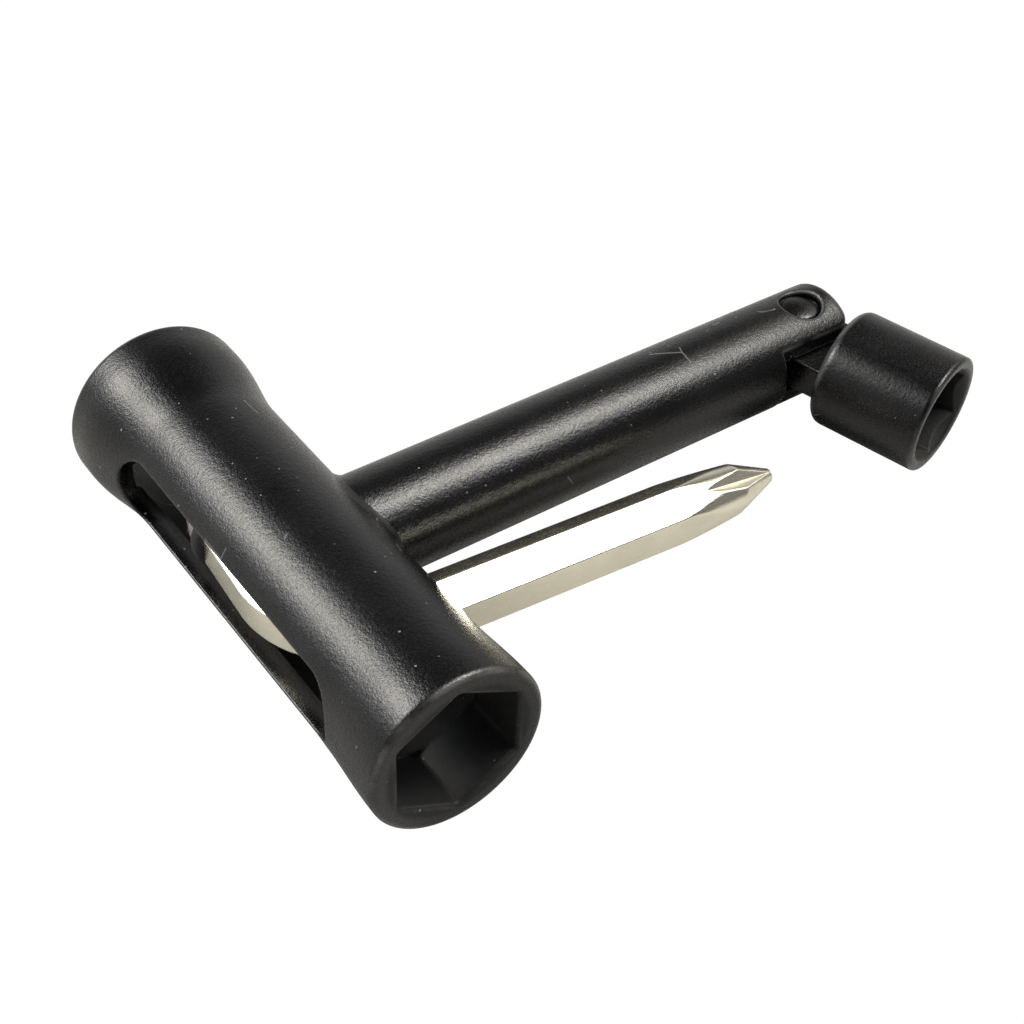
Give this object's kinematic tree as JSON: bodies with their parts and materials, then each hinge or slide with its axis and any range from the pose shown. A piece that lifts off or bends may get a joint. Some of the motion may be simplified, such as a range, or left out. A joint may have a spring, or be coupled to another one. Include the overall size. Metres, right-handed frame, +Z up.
{
  "type": "t-handle socket wrench",
  "caption": "T-shaped hand wrench: waisted cross tube with a hexagon socket in each end, a brazed shaft with a swivelling socket, and an L-shaped hexagon key stowed through the tube.",
  "frame": {"origin": "middle of the base of the whole tool's box at rest", "axes": "+X along the shaft away from the cross tube, +Y along the cross tube towards its larger socket, +Z up, square to the flat of the T"},
  "size_m": [0.0898, 0.06, 0.0204],
  "materials": {
    "enamel": "satin black enamel, slightly gritty, with fine dust and scratches",
    "blackened": "satin black coating over steel, a little smoother than the enamel",
    "nickel": "bright nickel plate with a warm champagne tint and fine draw lines",
    "rubber": "matt black"
  },
  "bodies": {
    "handle": {"handle_tube": "enamel", "shaft": "enamel", "braze_fillet": "enamel", "pivot_rivet": "blackened"},
    "head": {"swivel_socket": "blackened"},
    "key": {"hex_key": "nickel", "key_ring": "rubber"}
  },
  "joints": [
    {"name": "head_swing", "type": "hinge", "parent": "handle", "child": "head", "pos_m": [0.03243, 0, 0.0102], "axis": [0, -0.0471, 0.9989], "range_deg": [-17, 162.8]},
    {"name": "key_slide", "type": "slide", "parent": "handle", "child": "key", "axis": [-0.9973, 0.0732, 0], "range_m": [0, 0.04]}
  ]
}
